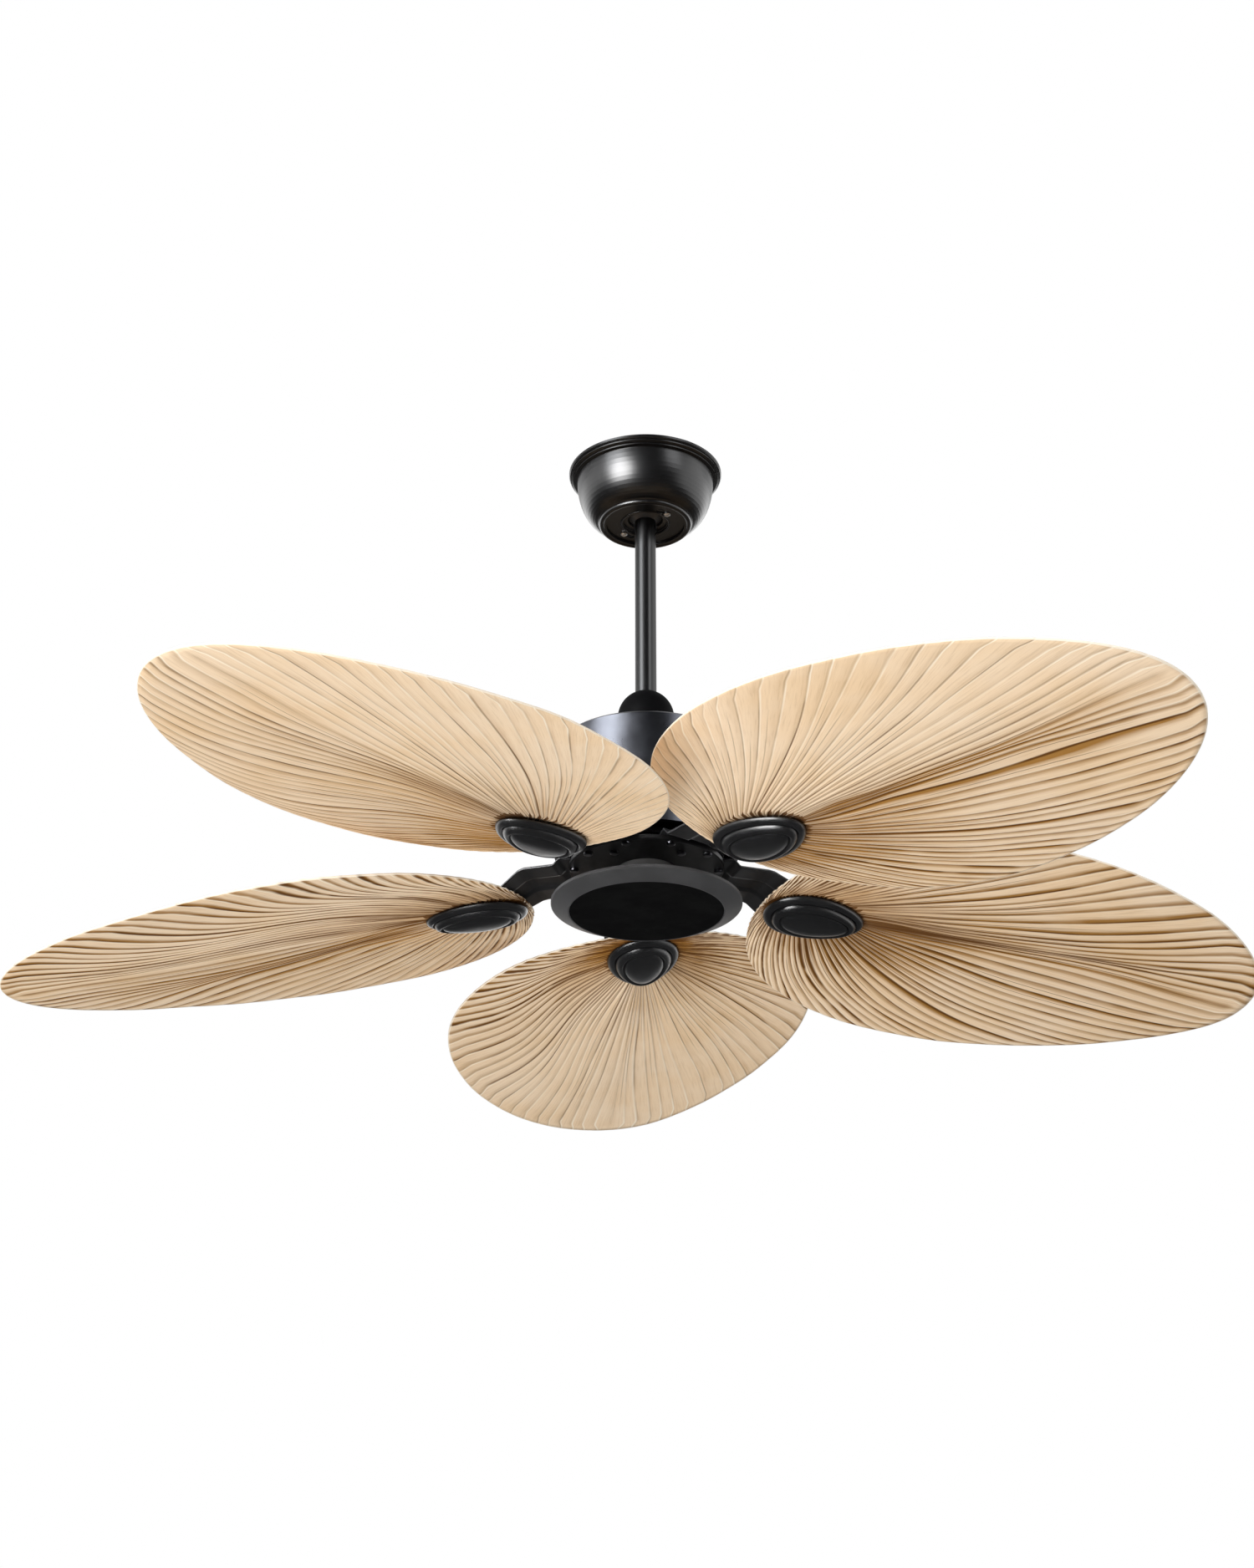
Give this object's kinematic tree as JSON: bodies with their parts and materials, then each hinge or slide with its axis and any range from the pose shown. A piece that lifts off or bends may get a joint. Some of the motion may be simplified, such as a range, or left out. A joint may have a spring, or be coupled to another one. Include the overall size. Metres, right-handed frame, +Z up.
{
  "type": "ceiling fan",
  "caption": "Ceiling fan on a short down rod, with broad pleated palm leaf blades on black arms, a plain drum motor housing and a domed ceiling canopy.",
  "frame": {"origin": "on the fan's axis, at the ceiling plane that the bracket and the canopy rim sit against", "axes": "+Z up into the ceiling, the fan hangs below zero; blade 1 points to +Y and the others follow anticlockwise seen from above; the box screws lie on X"},
  "size_m": [1.2611, 1.2245, 0.506],
  "materials": {
    "zinc_steel": "bright zinc plated",
    "black_gloss": "gloss black paint",
    "black_satin": "satin black paint",
    "black_matt": "matt black paint",
    "housing_graphite": "graphite metallic satin paint",
    "charcoal_matt": "matt charcoal paint",
    "neck_charcoal": "satin charcoal paint",
    "medallion_plastic": "matt charcoal, finely textured",
    "ball_plastic": "moulded nylon",
    "palm_leaf": "dried palm leaf, sealed, with fine brown ribs",
    "bell_aluminium": "die cast",
    "bell_black": "die cast, satin black paint",
    "stator_steel": "stacked electrical steel",
    "winding_copper": null,
    "magnet_steel": "plain dark",
    "bearing_steel": "ground and polished",
    "capacitor_case": "moulded case",
    "wire_insulation": "plain insulation"
  },
  "bodies": {
    "ceiling_mount": {"hanger_bracket": "black_satin", "canopy": "black_gloss", "canopy_trim_ring": "black_gloss", "canopy_screws": "zinc_steel"},
    "hanging_unit": {"hanger_ball": "ball_plastic", "ball_pin": "zinc_steel", "downrod": "black_gloss", "coupling_cover": "black_matt", "rod_coupler": "zinc_steel", "clevis_pin": "zinc_steel", "cotter_pin": "zinc_steel", "coupler_set_screws": "black_satin", "motor_shaft": "zinc_steel", "housing_hanger": "bell_aluminium", "motor_housing": "housing_graphite", "housing_screws": "zinc_steel", "stator_core": "stator_steel", "stator_winding": "winding_copper", "bearing_inner_rings": "bearing_steel", "neck_housing": "neck_charcoal", "shaft_nut": "zinc_steel", "capacitor": "capacitor_case", "cover_plate": "black_satin", "cover_ring": "charcoal_matt", "cover_cap": "black_matt", "cover_screws": "zinc_steel", "lead_wires": "wire_insulation"},
    "rotor_unit": {"lower_bell": "bell_black", "upper_bell": "bell_aluminium", "rotor_ring": "magnet_steel", "bell_screws": "zinc_steel", "bearing_outer_rings": "bearing_steel", "bearing_balls": "bearing_steel", "blade_ring": "black_satin", "arm_screws": "black_gloss", "leaf_screws": "zinc_steel", "blade_arm_1": "black_satin", "blade_arm_2": "black_satin", "blade_arm_3": "black_satin", "blade_arm_4": "black_satin", "blade_arm_5": "black_satin", "leaf_blade_1": "palm_leaf", "leaf_blade_2": "palm_leaf", "leaf_blade_3": "palm_leaf", "leaf_blade_4": "palm_leaf", "leaf_blade_5": "palm_leaf", "medallion_1": "medallion_plastic", "medallion_2": "medallion_plastic", "medallion_3": "medallion_plastic", "medallion_4": "medallion_plastic", "medallion_5": "medallion_plastic"}
  },
  "joints": [
    {"name": "ball_swing", "type": "hinge", "parent": "ceiling_mount", "child": "hanging_unit", "pos_m": [0, 0, -0.035], "axis": [1, 0, 0], "range_deg": [-15, 15]},
    {"name": "rotor_spin", "type": "hinge", "parent": "hanging_unit", "child": "rotor_unit", "pos_m": [0, 0, -0.4], "axis": [0, 0, 1], "continuous": true}
  ]
}
